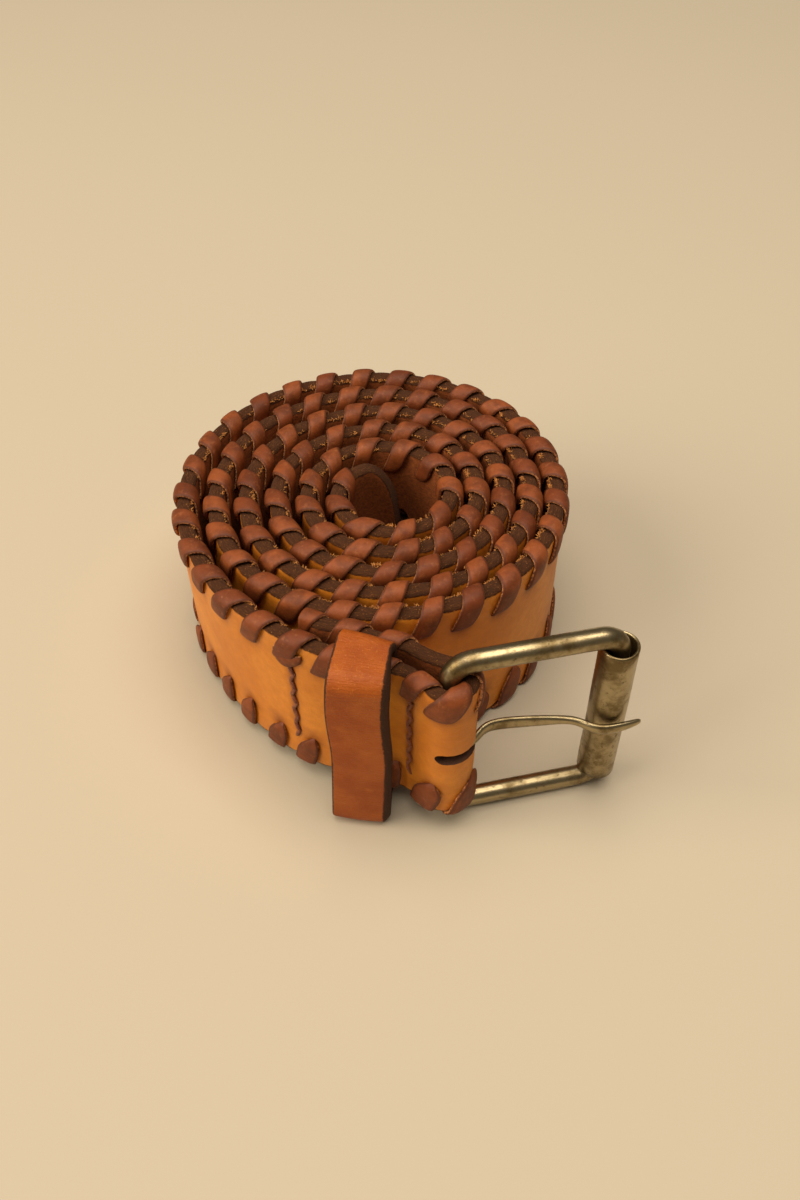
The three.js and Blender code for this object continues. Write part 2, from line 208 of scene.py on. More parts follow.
def mixColour(tree, share, first, second, blend="MIX"):
    return put(tree, "Mix", {0: share, 6: first, 7: second}, data_type="RGBA", blend_type=blend).outputs[2]


def sums(tree, operation, first, second):
    return put(tree, "Math", {0: first, 1: second}, operation=operation).outputs[0]


def addBump(tree, shader, layers):
    normal = None
    for height, depth in layers:
        values = {"Height": height, "Distance": depth * mm, "Strength": 1}
        if normal is not None:
            values["Normal"] = normal
        normal = put(tree, "Bump", values).outputs["Normal"]
    tree.links.new(normal, shader.inputs["Normal"])


# A display colour, 0 to 255, as the shader's linear one.
def colour(red, green, blue):
    shares = [display / 255 for display in (red, green, blue)]
    linear = [((share + 0.055) / 1.055) ** 2.4 if share > 10 / 255 else share / 12.92 for share in shares]
    return (*linear, 1)


def floorCloth():
    material, _, shader = newMaterial("floorCloth", Roughness=0.95)
    shader.inputs["Base Color"].default_value = studio["floorColour"]
    return material


# The roll: everything on the strap is made flat and rolled up along its middle line.
# Flat places are (length from the cut end, out from the middle, up from the lower edge), in mm.

roll = {
    "width": 38,
    "thickness": 3.4,
    "endWidth": 35.4,  # the end in the buckle is trimmed and pared
    "endThickness": 3,
    "turns": 5.55,
    "tipLength": 8,
    "radius": 44,
    "turnPitch": 6.05,
    "driftX": 2.3,
    "driftY": -1.8,
    "heelAcross": 13.7,  # heel bar from the roll's middle
    "heelForward": 10.8,
    "doubledAngle": -20,
    "doubledLength": 31,
    "barGap": 0.3,
    "wire": 4.2,
    "lowEdge": 0.9,
    "held": 6,
    "settle": 74,
    "leanAt": 99,  # the outer turn leans out here
    "leanSpan": 33,
    "lean": 0.045,
}

rollMiddle = heelAxis[:2] - np.array([roll["heelAcross"], -(roll["radius"] + roll["heelForward"])])
foldRadius = roll["wire"] / 2 + roll["barGap"] + roll["endThickness"] / 2
bendStart = roll["doubledLength"] - roll["wire"] / 4
noseLength = bendStart + foldRadius * math.radians(90)
frontStart = bendStart + foldRadius * math.radians(215)
foldLow = heelAxis[2] - roll["endWidth"] / 2


def fromHeel(along, back):
    angle = math.radians(roll["doubledAngle"])
    c, s = math.cos(angle), math.sin(angle)
    return heelAxis[:2] + np.array([along * c - back * s, along * s + back * c])


def rollPoint(turn):
    radius = roll["radius"] - roll["thickness"] / 2 - roll["turnPitch"] * turn
    angle = -math.pi / 2 - 2 * math.pi * turn
    drift = turn / roll["turns"]
    away = np.array([radius * math.cos(angle), radius * math.sin(angle)])
    return away + drift * np.array([roll["driftX"], roll["driftY"]])


def guidePoints():
    layerGap, keeperGap = 4.15, 5.8  # rear layer's middle line behind the front one's
    front = -0.6
    nearKeeper, keeper, pastKeeper = 9.9, 16.4, 22.9
    rear = [
        (roll["doubledLength"], front + layerGap + 1.6),
        ((roll["doubledLength"] + pastKeeper) / 2, front + layerGap + 1.2),
        (pastKeeper, front + keeperGap),
        (keeper, front + keeperGap),
        (nearKeeper, front + keeperGap),
        (7.8, (foldRadius + front + keeperGap) / 2),
        (foldRadius, foldRadius),
    ]
    guides = [fromHeel(-along, back) for along, back in rear]
    for angle in np.radians(np.linspace(90, -125, 15)):
        guides.append(fromHeel(foldRadius * math.cos(angle), foldRadius * math.sin(angle)))
    for along, back in ((7.8, front), (nearKeeper, front), (keeper, front), (pastKeeper, front)):
        guides.append(fromHeel(-along, back))
    guides.append(fromHeel(-pastKeeper - 7.5, front + 0.9))
    leave = rollPoint(0.111)
    guides.append(rollMiddle + leave * (1 + 1.4 / np.linalg.norm(leave)))
    guides += [rollMiddle + rollPoint(step / 24) for step in range(4, 134)]
    return np.array(guides)


def middleLine(guides, steps=40):
    ends = np.vstack([2 * guides[0] - guides[1], guides, 2 * guides[-1] - guides[-2]])
    t = np.linspace(0, 1, steps, endpoint=False)[:, None]
    line = []
    for a, b, c, d in zip(ends, ends[1:], ends[2:], ends[3:]):
        before, here, after = (math.sqrt(np.linalg.norm(q - p)) for p, q in ((a, b), (b, c), (c, d)))
        leaving = here * ((b - a) / before - (c - a) / (before + here) + (c - b) / here)
        arriving = here * ((c - b) / here - (d - b) / (here + after) + (d - c) / after)
        bend = 3 * (c - b) - 2 * leaving - arriving
        line.append(b + leaving * t + bend * t**2 + (2 * (b - c) + leaving + arriving) * t**3)
    line = np.vstack(line + [guides[-1][None]])
    lengths = np.r_[0, np.cumsum(np.linalg.norm(np.diff(line, axis=0), axis=1))]
    heading = np.gradient(line, lengths, axis=0)
    return lengths, line, heading / np.linalg.norm(heading, axis=1)[:, None]


lineLengths, linePlaces, lineHeadings = middleLine(guidePoints())
strapLength = lineLengths[-1]
lastLace = strapLength - roll["tipLength"] - 2


def onLine(values, s):
    return np.column_stack([np.interp(s, lineLengths, column) for column in values.T])


def endShare(s):
    return np.where(s < noseLength, 1, 1 - smoothStep((s - noseLength - roll["held"]) / roll["settle"]))


# Flat places rolled up, in metres. Lacing follows the upper or lower edge, the strap both.
def rollUp(flat, follow="strap"):
    s, out, up = flat.T
    end = endShare(s)
    width = roll["width"] + (roll["endWidth"] - roll["width"]) * end
    low = roll["lowEdge"] + (foldLow - roll["lowEdge"]) * end
    thin = 1 + (roll["endThickness"] / roll["thickness"] - 1) * end
    surface = roll["thickness"] / 2
    proud = np.maximum(np.abs(out) - surface, 0)
    proud = np.where((out < 0) & (s < noseLength + roll["doubledLength"]), proud * 0.3, proud)
    across = np.sign(out) * (np.minimum(np.abs(out), surface) * thin + proud)
    if follow == "upper":
        height = low + width + up - roll["width"]
    elif follow == "lower":
        height = low + up
    else:
        height = low + up * width / roll["width"]
    lean = roll["lean"] * smoothStep(1 - np.abs(s - roll["leanAt"]) / roll["leanSpan"])
    across = across + lean * (height - low - 0.8 * roll["width"])
    heading = onLine(lineHeadings, s)
    outward = np.column_stack([-heading[:, 1], heading[:, 0]])
    return np.column_stack([onLine(linePlaces, s) + outward * across[:, None], height]) * mm


# Lacing places

lacing = {
    "pitch": 8.65,
    "upperFirst": [36.6, 43.7],  # round the fold
    "upperFrom": 51.2,
    "lowerFirst": [37.2, 44.4],
    "lowerFrom": 54.0,
    "rear": [4.5, 13.0, 21.5],
    "upperReach": 6.2,
    "lowerReach": 8.3,
    "upperWidth": 4.8,
    "lowerWidth": 5.3,
    "thickness": 1.25,
    "bend": 1.85,  # round the edge's corners
    "slide": 7.0,  # along the strap from the outer slit to the inner one
}


def laceSlits(first, start):
    slits = np.array(first + list(np.arange(start, lastLace, lacing["pitch"])))
    wander = dice.normal(0, 0.28, len(slits))
    wander[: len(first) + 8] *= 0.3  # the ones that show best stay where they were seen
    return slits + wander


upperSlits = laceSlits(lacing["upperFirst"], lacing["upperFrom"])
lowerSlits = laceSlits(lacing["lowerFirst"], lacing["lowerFrom"])
rearSlits = np.array(lacing["rear"])


# Strap

strap = {
    "edgeRound": 0.9,
    "rows": [2.2, 3.6, 5.0, 6.4, 7.8, 9.4, 12.5, 16, 19, 22, 25.5, 28.6, 30.2, 31.6, 33.0, 34.4, 35.8],
    "stations": 900,
    "slotWidth": 3.2,
    "slotRear": 95,  # degrees round the fold from its nose
    "slotFront": 117,
    "holes": 5,
    "holeSize": 4.5,
    "holeSpacing": 25,
    "firstHole": 75,
    "seams": [75.1, 50.2],
    "seamFrom": 8.6,
    "seamTo": 32.6,
}


def flatStrap():
    half = roll["thickness"] / 2
    bm = bmesh.new()
    bmesh.ops.create_cube(bm, size=1)
    bmesh.ops.scale(bm, vec=(strapLength, roll["thickness"], roll["width"]), verts=bm.verts)
    bmesh.ops.translate(bm, vec=(strapLength / 2, 0, roll["width"] / 2), verts=bm.verts)
    corners = [edge for edge in bm.edges if abs(edge.verts[0].co.x - edge.verts[1].co.x) > 1]
    bmesh.ops.bevel(
        bm, geom=corners, offset=strap["edgeRound"], offset_type="OFFSET", affect="EDGES",
        segments=3, profile=0.5, material=-1,
    )
    for row in strap["rows"]:
        whole = bm.verts[:] + bm.edges[:] + bm.faces[:]
        bmesh.ops.bisect_plane(bm, geom=whole, plane_co=(0, 0, row), plane_no=(0, 0, 1), dist=1e-4)
    for row in (-half / 3, half / 3):
        ends = [face for face in bm.faces if abs(face.normal.z) > 0.9]
        around = list(dict.fromkeys(item for face in ends for item in (*face.edges, *face.verts)))
        bmesh.ops.bisect_plane(bm, geom=ends + around, plane_co=(0, row, 0), plane_no=(0, 1, 0), dist=1e-4)
    lengthwise = [edge for edge in bm.edges if abs(edge.verts[0].co.x - edge.verts[1].co.x) > 1]
    bmesh.ops.subdivide_edges(bm, edges=lengthwise, cuts=strap["stations"], use_grid_fill=True)
    return bm


# A slot's outline with round ends, through the strap.
def capsule(bm, start, end, width, height):
    ring = bmesh.ops.create_circle(bm, cap_ends=True, segments=20, radius=width / 2)["verts"]
    for vert in ring:
        x, y, _ = vert.co
        vert.co = (x + (end if x > 0 else start), -roll["thickness"], height + y)
    face = next(face for face in bm.faces if set(face.verts) == set(ring))
    grown = bmesh.ops.extrude_face_region(bm, geom=[face])["geom"]
    moved = [item for item in grown if isinstance(item, bmesh.types.BMVert)]
    bmesh.ops.translate(bm, vec=(0, 2 * roll["thickness"], 0), verts=moved)


def strapCutter():
    bm = bmesh.new()
    middle = roll["width"] / 2
    toRear, toFront = (foldRadius * math.radians(strap[name]) for name in ("slotRear", "slotFront"))
    inset = strap["slotWidth"] / 2
    capsule(bm, noseLength - toRear + inset, noseLength + toFront - inset, strap["slotWidth"], middle)
    for hole in range(strap["holes"]):
        place = strapLength - strap["firstHole"] - strap["holeSpacing"] * hole
        capsule(bm, place, place, strap["holeSize"], middle)
    bmesh.ops.recalc_face_normals(bm, faces=bm.faces)
    return meshPiece("cutter", bm, [])


def cutStrap():
    whole = meshPiece("wholeStrap", flatStrap(), [])
    cutter = strapCutter()
    cut = whole.modifiers.new("cut", "BOOLEAN")
    cut.operation = "DIFFERENCE"
    cut.solver = "EXACT"
    cut.object = cutter
    ready = whole.evaluated_get(bpy.context.evaluated_depsgraph_get())
    mesh = bpy.data.meshes.new_from_object(ready)
    for helper in (whole, cutter):
        bpy.data.objects.remove(helper)
    return mesh


# 1 where a lace crosses an edge, 0 between two.
def nearestPinch(s, slits, shift):
    crossings = slits + shift
    after = np.searchsorted(crossings, s).clip(1, len(crossings) - 1)
    nearest = np.minimum(np.abs(s - crossings[after]), np.abs(s - crossings[after - 1]))
    return bell(nearest, 2.1)


def strapShape(mesh):
    flat = points(mesh)
    s, out, up = flat.T.copy()
    width, half = roll["width"], roll["thickness"] / 2
    fromUpper, fromLower = width - up, up
    upperPinch = nearestPinch(s, upperSlits, -0.45 * lacing["slide"]) * bell(fromUpper, 3)
    lowerPinch = nearestPinch(s, lowerSlits, 0.45 * lacing["slide"]) * bell(fromLower, 3)
    upperSlit = nearestPinch(s, upperSlits, 0) * bell(fromUpper - lacing["upperReach"], 1.4)
    lowerSlit = nearestPinch(s, lowerSlits, 0) * bell(fromLower - lacing["lowerReach"], 1.4)
    inSlit = (upperSlit + lowerSlit) * (out > 0)
    seam = sum(bell(s - place, 0.9) for place in strap["seams"])
    seam = seam * smoothStep((up - strap["seamFrom"]) / 2) * smoothStep((strap["seamTo"] - up) / 2)
    seam = seam * (out > 0)
    wander = 0.12 * np.sin(s / 5.1 + 1.3) + 0.09 * np.sin(s / 2.9) + 0.06 * np.sin(s / 1.7 + 0.6)
    up = up - (upperPinch * 0.5 - 0.15 * bell(fromUpper, 3)) + (lowerPinch * 0.5 - 0.1 * bell(fromLower, 3))
    up = up + wander * (bell(fromUpper, 3) + 0.5 * bell(fromLower, 3))
    out = out * (1 - 0.12 * (upperPinch + lowerPinch)) - 0.3 * inSlit - 0.3 * seam
    tip = np.clip((s - (strapLength - roll["tipLength"])) / roll["tipLength"], 0, 0.999)
    narrow = np.sqrt(1 - tip**2)
    rim = np.minimum(up, width - up) * narrow
    up = width / 2 + (up - width / 2) * narrow
    edge = np.minimum.reduce([rim, s + 0.2, (strapLength - s) * 1.2 + 0.2])
    keepVector(mesh, "flat", np.column_stack([s, out, up]))
    keepNumber(mesh, "edge", edge)
    keepNumber(mesh, "side", flat[:, 1] / half)
    # Pressed grain with painted shade: darker at the slits, along the seams and where the upper lacing
    # crosses the edge.
    keepNumber(mesh, "pressAndShade", np.clip(inSlit + seam * 0.8 + upperPinch * 0.3, 0, 1))
    setPoints(mesh, rollUp(np.column_stack([s, out, up])))


def tanLeather():
    material, tree, shader = newMaterial("tanLeather", Specular_IOR_Level=0.32)
    flat = readAttribute(tree, "flat")["Vector"]
    edge = readAttribute(tree, "edge")["Fac"]
    side = readAttribute(tree, "side")["Fac"]
    pressAndShade = readAttribute(tree, "pressAndShade")["Fac"]
    clouds = between(tree, noise(tree, flat, 0.06, 4), 0.35, 0.65)
    mottle = between(tree, noise(tree, flat, 0.5, 5, 0.65), 0.3, 0.7)
    tan = mixColour(tree, clouds, colour(204, 120, 30), colour(220, 138, 42))
    tan = mixColour(tree, sums(tree, "MULTIPLY", mottle, 0.35), tan, colour(180, 98, 26))
    # Painted shade: the grain darkens over the roll's inner turns, from 560 to 860 mm along the strap.
    inside = between(tree, put(tree, "SeparateXYZ", {"Vector": flat}).outputs["X"], 560, 860)
    tan = mixColour(tree, sums(tree, "MULTIPLY", inside, 0.6), tan, colour(128, 60, 14))
    # Painted shade mixed with pressed grain: darker at the slits, the seams and the upper lace crossings.
    tan = mixColour(tree, pressAndShade, tan, colour(120, 58, 22))
    fuzz = noise(tree, stretched(tree, flat, (0.9, 2, 1.6)), 1.2, 6, 0.75)
    flesh = mixColour(tree, between(tree, fuzz, 0.3, 0.7), colour(96, 46, 14), colour(150, 80, 32))
    grainShare = between(tree, side, -0.3, 0.1)
    skin = mixColour(tree, grainShare, flesh, tan)
    ragged = sums(tree, "MULTIPLY_ADD", noise(tree, flat, 1.6, 4), 0.7)
    ragged.node.inputs[2].default_value = 0.15
    dyed = between(tree, sums(tree, "SUBTRACT", edge, ragged), 0.0, 0.35, 1, 0)
    strands = noise(tree, stretched(tree, flat, (0.5, 6, 2)), 1.4, 5, 0.7)
    edgeColour = mixColour(tree, between(tree, strands, 0.45, 0.75), colour(60, 30, 8), colour(102, 58, 20))
    flecks = between(tree, noise(tree, flat, 3.2, 4, 0.7), 0.62, 0.70)
    edgeColour = mixColour(tree, sums(tree, "MULTIPLY", flecks, 0.8), edgeColour, colour(196, 126, 56))
    tree.links.new(mixColour(tree, dyed, skin, edgeColour), shader.inputs["Base Color"])
    rough = mixColour(tree, grainShare, (0.92, 0.92, 0.92, 1), (0.46, 0.46, 0.46, 1))
    rough = mixColour(tree, dyed, rough, (0.95, 0.95, 0.95, 1))
    tree.links.new(rough, shader.inputs["Roughness"])
    pores = noise(tree, flat, 4.5, 3, 0.6)
    creases = noise(tree, flat, 0.9, 4, 0.6)
    addBump(tree, shader, [(pores, 0.04), (creases, 0.12), (sums(tree, "MULTIPLY", fuzz, dyed), 0.25)])
    return material


def cutLeather():
    material, tree, shader = newMaterial("cutLeather", Roughness=0.85)
    flat = readAttribute(tree, "flat")["Vector"]
    tone = noise(tree, flat, 2, 4)
    brown = mixColour(tree, tone, colour(46, 28, 18), colour(92, 52, 28))
    tree.links.new(brown, shader.inputs["Base Color"])
    addBump(tree, shader, [(tone, 0.1)])
    return material


def addStrap():
    mesh = cutStrap()
    cutFaces = []
    for face in mesh.polygons:
        inside = 2.5 < face.center.z < roll["width"] - 2.5 and 1 < face.center.x < strapLength - 1
        cutFaces.append(1 if inside and abs(face.normal.y) < 0.5 else 0)
    strapShape(mesh)
    piece = dressPiece("strapLeather", mesh, [tanLeather(), cutLeather()])
    mesh.polygons.foreach_set("material_index", cutFaces)
    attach(piece, "belt")
    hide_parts("strap")
    return piece


# Lacing

# Corners of a lace that is flat below and domed above, at one place of its way.
def laceSection(row):
    corners = (
        (-0.97, -0.8), (0.97, -0.8), (1, 0.35), (0.82, 0.75), (0.4, 1), (-0.4, 1), (-0.82, 0.75), (-1, 0.35),
    )
    return [(
        row["s"] + across * row["wide"] / 2,
        row["out"] + rise * row["thick"] / 2 * row["normal"][0],
        row["up"] + rise * row["thick"] / 2 * row["normal"][1],
    ) for across, rise in corners], corners


# The way of one lace over the upper edge, from the outer slit to the inner one.
def laceRows(reach, width, blunt):
    half = roll["thickness"] / 2
    bend = lacing["bend"]
    side, rise = half + 0.5, 0.7
    way = [  # out of the strap's middle, below the edge, share of the slide, width and thickness
        (half - 0.75, reach + 0.3, -0.02, 0.75 * blunt, 0.5),
        (half + 0.05, reach - 0.1, 0.00, 0.86 * blunt, 0.8),
        (half + 0.40, reach - 1.2, 0.05, 0.70 + 0.27 * blunt, 1.0),
        (side, reach * 0.60, 0.14, 1.00, 1.0),
        (side, reach * 0.36, 0.21, 1.00, 1.0),
    ]
    for face, angles in ((1, (90, 68, 45, 23, 0)), (-1, (0, -23, -45, -68, -90))):  # grain, then flesh
        for angle in angles:
            turn = math.radians(angle)
            out = (side - bend) * face + bend * math.sin(turn)
            below = bend - rise - bend * math.cos(turn)
            way.append((out, below, 0.46 - 0.18 * angle / 90 - 0.02 * face, 1.0, 1.0))
    way += [
        (-side, reach * 0.36, 0.71, 1.00, 1.0),
        (-side, reach * 0.60, 0.80, 1.00, 1.0),
        (-half - 0.40, reach - 1.3, 0.93, 0.90, 1.0),
        (-half - 0.05, reach - 0.2, 0.99, 0.60, 0.8),
        (-half + 0.75, reach + 0.2, 1.00, 0.40, 0.5),
    ]
    rows = []
    travelled = 0
    for i, (out, below, share, wide, thick) in enumerate(way):
        before, after = way[max(i - 1, 0)], way[min(i + 1, len(way) - 1)]
        step = np.array([after[0] - before[0], before[1] - after[1]])
        step /= np.linalg.norm(step)
        if i:
            travelled += math.dist(way[i - 1][:2], way[i][:2])
        rows.append({
            "s": -share * lacing["slide"], "out": out, "up": -below, "travelled": travelled,
            "wide": wide * width, "thick": thick * lacing["thickness"], "normal": (step[1], -step[0]),
        })
    return rows


# A closed band grown from one section to the next; its lace attribute holds how far and how wide.
def bandMesh(rows, section):
    bm = bmesh.new()
    mark = bm.verts.layers.float_vector.new("lace")
    places, corners = section(rows[0])
    face = bm.faces.new([bm.verts.new(place) for place in places])
    for vert, corner in zip(face.verts, corners):
        vert[mark] = (rows[0]["travelled"], *corner)
    for step, row in enumerate(rows[1:]):
        last = [Vector(place) for place in places]
        places, corners = section(row)
        grown = bmesh.ops.extrude_face_region(bm, geom=[face])["geom"]
        if step:  # the first face closes the band, the others would stay inside it
            bmesh.ops.delete(bm, geom=[face], context="FACES_ONLY")
        face = next(item for item in grown if isinstance(item, bmesh.types.BMFace))
        for vert in face.verts:
            nearest = min(range(len(last)), key=lambda i: (last[i] - vert.co).length)
            vert.co = places[nearest]
            vert[mark] = (row["travelled"], *corners[nearest])
    bmesh.ops.recalc_face_normals(bm, faces=bm.faces)
    mesh = bpy.data.meshes.new("band")
    bm.to_mesh(mesh)
    bm.free()
    return mesh


# Places, faces and lace marks of one mesh repeated; change bends a copy's flat places.
def repeated(template, shifts, change):
    count = len(template.vertices)
    marks = np.empty(count * 3, dtype=np.float32)
    template.attributes["lace"].data.foreach_get("vector", marks)
    marks = marks.reshape(-1, 3)
    base = points(template)
    faces = [list(face.vertices) for face in template.polygons]
    allPlaces, allFaces, allMarks, allLots = [], [], [], []
    for i, shift in enumerate(shifts):
        allPlaces.append(change(base.copy(), shift))
        allMarks.append(marks)
        allLots.append(np.full(count, dice.random()))
        allFaces += [[corner + i * count for corner in face] for face in faces]
    return np.vstack(allPlaces), allFaces, np.vstack(allMarks), np.concatenate(allLots)


def joined(name, parts, materials, smoothAngle=180):
    places, faces, marks, lots = [], [], [], []
    count = 0
    for part in parts:
        places.append(part[0])
        faces += [[corner + count for corner in face] for face in part[1]]
        marks.append(part[2])
        lots.append(part[3])
        count += len(part[0])
    mesh = bpy.data.meshes.new(name)
    mesh.from_pydata(np.vstack(places).tolist(), [], faces)
    keepVector(mesh, "lace", np.vstack(marks))
    keepNumber(mesh, "lot", np.concatenate(lots))
    return dressPiece(name, mesh, materials, smoothAngle)


def wraps(slits, follow, reach):
    upper = follow == "upper"
    rows = laceRows(reach, lacing["upperWidth" if upper else "lowerWidth"], 1 if upper else 0.24)
    template = bandMesh(rows, laceSection)

    def place(flat, slit):
        middle = flat[:, 0].mean()
        flat[:, 0] = middle + (flat[:, 0] - middle) * dice.normal(1, 0.04)
        flat[:, 1] *= dice.normal(1, 0.012)
        flat[:, 2] *= dice.normal(1, 0.03)
        flat[:, 0] += dice.normal(0, 0.2) * flat[:, 1] / roll["thickness"]
        if upper:
            flat[:, 2] += roll["width"]
        else:
            flat[:, 0] *= -1
            flat[:, 2] *= -1
        flat[:, 0] += slit
        return rollUp(flat, follow)

    places, faces, marks, lots = repeated(template, slits, place)
    bpy.data.meshes.remove(template)
    return places, faces, marks, lots


def laceLeather():
    made = bpy.data.materials.get("laceLeather")
    if made:
        return made
    material, tree, shader = newMaterial("laceLeather", Specular_IOR_Level=0.3)
    lace = readAttribute(tree, "lace")["Vector"]
    lot = readAttribute(tree, "lot")["Fac"]
    place = put(tree, "TexCoord").outputs["Object"]
    parts = put(tree, "SeparateXYZ", {"Vector": lace}).outputs
    across = sums(tree, "ABSOLUTE", parts["Y"], 0)
    tone = mixColour(tree, lot, colour(112, 52, 20), colour(144, 74, 32))
    cloud = between(tree, noise(tree, place, 260, 4, 0.6), 0.35, 0.7)
    tone = mixColour(tree, sums(tree, "MULTIPLY", cloud, 0.7), tone, colour(82, 36, 12))
    rubbed = between(tree, noise(tree, place, 700, 5, 0.7), 0.52, 0.72)
    tone = mixColour(tree, sums(tree, "MULTIPLY", rubbed, 0.4), tone, colour(164, 100, 58))
    fibres = noise(tree, place, 2100, 3, 0.75)
    ragged = sums(tree, "ADD", across, sums(tree, "MULTIPLY", fibres, 0.22))
    # Darker towards the lace's sides: dyed cut edges with painted shade.
    dyedAndShadedSides = between(tree, ragged, 0.84, 1.0)
    tone = mixColour(tree, sums(tree, "MULTIPLY", dyedAndShadedSides, 0.8), tone, colour(84, 40, 20))
    side = sums(tree, "MULTIPLY", between(tree, across, 0.9, 0.98), between(tree, parts["Z"], 0.2, 0.6, 1, 0))
    frayed = mixColour(tree, between(tree, fibres, 0.42, 0.62), colour(96, 50, 26), colour(196, 130, 78))
    tree.links.new(mixColour(tree, side, tone, frayed), shader.inputs["Base Color"])
    rough = mixColour(tree, side, (0.56, 0.56, 0.56, 1), (0.9, 0.9, 0.9, 1))
    tree.links.new(rough, shader.inputs["Roughness"])
    creases = noise(tree, place, 330, 4, 0.6)
    addBump(tree, shader, [(fibres, 0.06), (noise(tree, place, 900, 3), 0.05), (creases, 0.10)])
    return material


def addLacing():
    material = laceLeather()
    upper = joined("upperLacing", [
        wraps(upperSlits, "upper", lacing["upperReach"]),
        wraps(rearSlits, "upper", lacing["upperReach"]),
    ], [material])
    lower = joined("lowerLacing", [
        wraps(lowerSlits, "lower", lacing["lowerReach"]),
        wraps(rearSlits, "lower", lacing["upperReach"]),
    ], [material])
    replaced = {upper: ["upper_lacing", "rear_upper_lacing"], lower: ["lower_lacing", "rear_lower_lacing"]}
    for piece, nodes in replaced.items():
        soften(piece, 1)
        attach(piece, "belt")
        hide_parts(*nodes)


# Loose fibres on the flesh corner of the upper edge

fibre = {
    "tufts": 760,
    "perTuft": 7,
    "spread": 0.34,
    "length": 0.52,
    "width": 0.26,
}


# One strand that stands up and bends over, as a thin three-sided band.
def strandMesh():
    def section(row):
        corners = [(math.cos(angle), math.sin(angle)) for angle in np.radians((90, 210, 330))]
        return [(
            x * row["wide"] / 2 + row["bend"], y * row["wide"] / 2, row["up"],
        ) for x, y in corners], corners

    rows = [
        {"up": 0, "bend": 0, "wide": fibre["width"], "travelled": 0},
        {"up": 0.4, "bend": 0.03, "wide": fibre["width"], "travelled": 0.4},
        {"up": 0.75, "bend": 0.14, "wide": fibre["width"] * 0.8, "travelled": 0.75},
        {"up": 1.0, "bend": 0.34, "wide": fibre["width"] * 0.35, "travelled": 1},
    ]
    return bandMesh(rows, section)


def addFibres():
    template = strandMesh()
    centres = dice.uniform(frontStart + 30, strapLength - 12, fibre["tufts"])
    strands = np.repeat(centres, fibre["perTuft"])
    corner = np.array([-roll["thickness"] / 2 + 0.25, roll["width"] - 0.35])

    def place(flat, centre):
        turn = dice.uniform(0, math.tau)
        tilt = dice.normal(0.9, 0.45)
        x, y, z = flat.T
        x, y = x * math.cos(turn) - y * math.sin(turn), x * math.sin(turn) + y * math.cos(turn)
        z = z * fibre["length"] * dice.uniform(0.4, 1.3)
        y, z = y * math.cos(tilt) - z * math.sin(tilt), y * math.sin(tilt) + z * math.cos(tilt)
        lie = dice.normal(0, 0.6)
        x, z = x + z * math.sin(lie), z * math.cos(lie)
        s = centre + dice.normal(0, fibre["spread"])
        out = corner[0] + abs(dice.normal(0, 0.35))
        return rollUp(np.column_stack([x + s, y + out, z + corner[1] + 0.12]))

    strandsMesh = joined("looseFibres", [repeated(template, strands, place)], [fibreLeather()])
    bpy.data.meshes.remove(template)
    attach(strandsMesh, "belt")


def fibreLeather():
    material, tree, shader = newMaterial("fibreLeather", Roughness=0.9)
    lot = readAttribute(tree, "lot")["Fac"]
    along = put(tree, "SeparateXYZ", {"Vector": readAttribute(tree, "lace")["Vector"]}).outputs["X"]
    tone = mixColour(tree, lot, colour(152, 92, 38), colour(202, 136, 66))
    tree.links.new(mixColour(tree, between(tree, along, 0, 0.5, 1, 0), tone, colour(134, 74, 30)),
                   shader.inputs["Base Color"])
    addBump(tree, shader, [(noise(tree, put(tree, "TexCoord").outputs["Object"], 3000, 2), 0.03)])
    return material


# Seams beside the keeper, and the lace end tucked in at the outer one

thread = {
    "stitch": 2.3,
    "length": 3.3,
    "width": 1.25,
    "thickness": 1.0,
    "lean": 0.58,  # each stitch crosses the seam by this to either side
}


def threadSection(row):
    corners = ((-1, 0), (-0.5, -0.9), (0.5, -0.9), (1, 0), (0.5, 0.9), (-0.5, 0.9))
    return [(
        row["s"] + across * row["wide"] / 2,
        row["out"] + rise * row["thick"] / 2,
        row["up"],
    ) for across, rise in corners], corners


def stitchMesh():
    rows = []
    for share in (-0.5, -0.42, -0.2, 0, 0.2, 0.42, 0.5):
        bulk = math.sqrt(1 - (share * 1.9) ** 2)
        rows.append({
            "s": 0, "out": roll["thickness"] / 2 - 0.25 + 0.35 * bulk, "up": share * thread["length"],
            "travelled": share * thread["length"],
            "wide": thread["width"] * (0.25 + 0.75 * bulk), "thick": thread["thickness"] * (0.3 + 0.7 * bulk),
        })
    return bandMesh(rows, threadSection)


def seamStitches(seam, turn):
    count = int((strap["seamTo"] - strap["seamFrom"] + 2) / thread["stitch"])

    def place(flat, step):
        slant = turn * thread["lean"] * (1 if step % 2 else -1) + dice.normal(0, 0.06)
        flat[:, 0] += seam + slant * flat[:, 2] / thread["length"] * 2 + dice.normal(0, 0.05)
        flat[:, 2] += strap["seamFrom"] - 1 + thread["stitch"] * (step + 0.5) + dice.normal(0, 0.08)
        return rollUp(flat)

    template = stitchMesh()
    made = repeated(template, range(count), place)
    bpy.data.meshes.remove(template)
    return made


